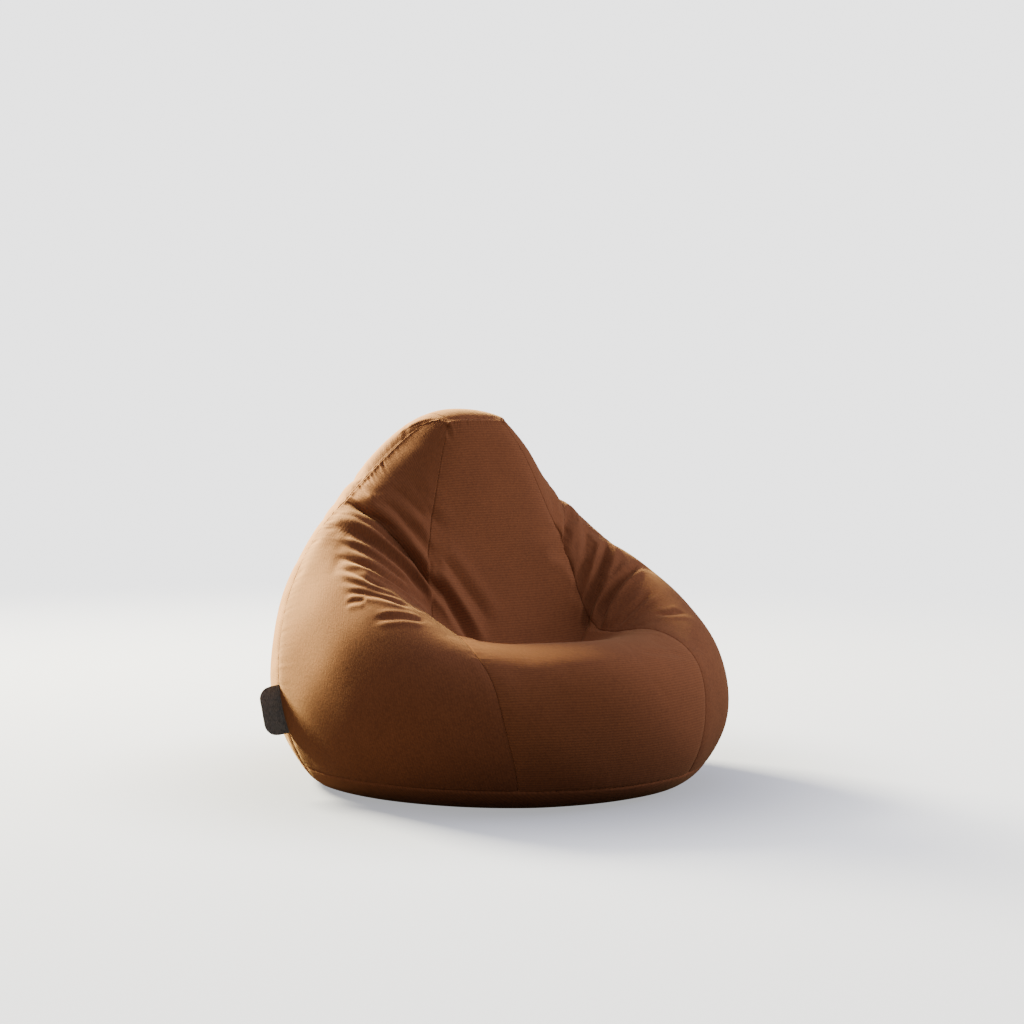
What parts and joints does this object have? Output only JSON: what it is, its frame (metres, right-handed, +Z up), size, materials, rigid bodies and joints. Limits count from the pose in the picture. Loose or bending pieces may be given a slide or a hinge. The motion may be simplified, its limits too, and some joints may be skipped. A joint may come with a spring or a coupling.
{
  "type": "bean bag chair",
  "caption": "Low rounded bean bag lounge chair with raised arms, a scooped seat and a tapering backrest, sewn from shaped panels over a liner of beads.",
  "frame": {"origin": "middle of the sack seen from above, at floor level, where the base mount is; the side label stands out 31 mm beyond the sack on -X", "axes": "+Z up; the chair faces -Y; +X is the viewer's right when looking at the front"},
  "size_m": [0.9315, 0.9418, 0.75],
  "materials": {
    "cover_cloth": "matt woven cloth with fine cross ribs",
    "zip_tape": "matt woven tape",
    "zip_coil": "satin",
    "zip_metal": "satin",
    "label_webbing": "heathered woven webbing",
    "liner_cloth": "matt plain cloth",
    "liner_tape": "matt woven tape",
    "beads": "matt foam beads"
  },
  "bodies": {
    "sack": {"seat_front_panel": "cover_cloth", "backrest_panel": "cover_cloth", "backrest_side_left": "cover_cloth", "backrest_side_right": "cover_cloth", "arm_panel_left": "cover_cloth", "arm_panel_right": "cover_cloth", "rear_side_left": "cover_cloth", "rear_side_right": "cover_cloth", "back_panel": "cover_cloth", "base_panel": "cover_cloth", "zipper_tape_upper": "zip_tape", "zipper_tape_lower": "zip_tape", "zipper_coil_upper": "zip_coil", "zipper_coil_lower": "zip_coil", "zipper_top_stop": "zip_metal", "zipper_bottom_stop": "zip_metal", "side_label": "label_webbing", "liner_front": "liner_cloth", "liner_back": "liner_cloth", "liner_base": "liner_cloth", "liner_zipper_tape_upper": "liner_tape", "liner_zipper_tape_lower": "liner_tape", "liner_zipper_coil_upper": "zip_coil", "liner_zipper_coil_lower": "zip_coil", "liner_zipper_top_stop": "zip_metal", "liner_zipper_bottom_stop": "zip_metal", "bead_fill": "beads"},
    "slider": {"zipper_slider": "zip_metal"},
    "pull": {"zipper_pull": "zip_metal"},
    "liner_slider": {"liner_zipper_slider": "zip_metal"}
  },
  "joints": [
    {"name": "zip_travel", "type": "hinge", "parent": "sack", "child": "slider", "pos_m": [0, 0.02003, 0.048], "axis": [0, 0, 1], "range_deg": [0, 69.1]},
    {"name": "pull_swing", "type": "hinge", "parent": "slider", "child": "pull", "pos_m": [0.23226, 0.35688, 0.0456], "axis": [0.3128, 0.4537, 0.8345], "range_deg": [-75, 75]},
    {"name": "liner_zip_travel", "type": "hinge", "parent": "sack", "child": "liner_slider", "pos_m": [0, 0.0373, 0.124], "axis": [0, 0, 1], "range_deg": [0, 41.7]}
  ]
}
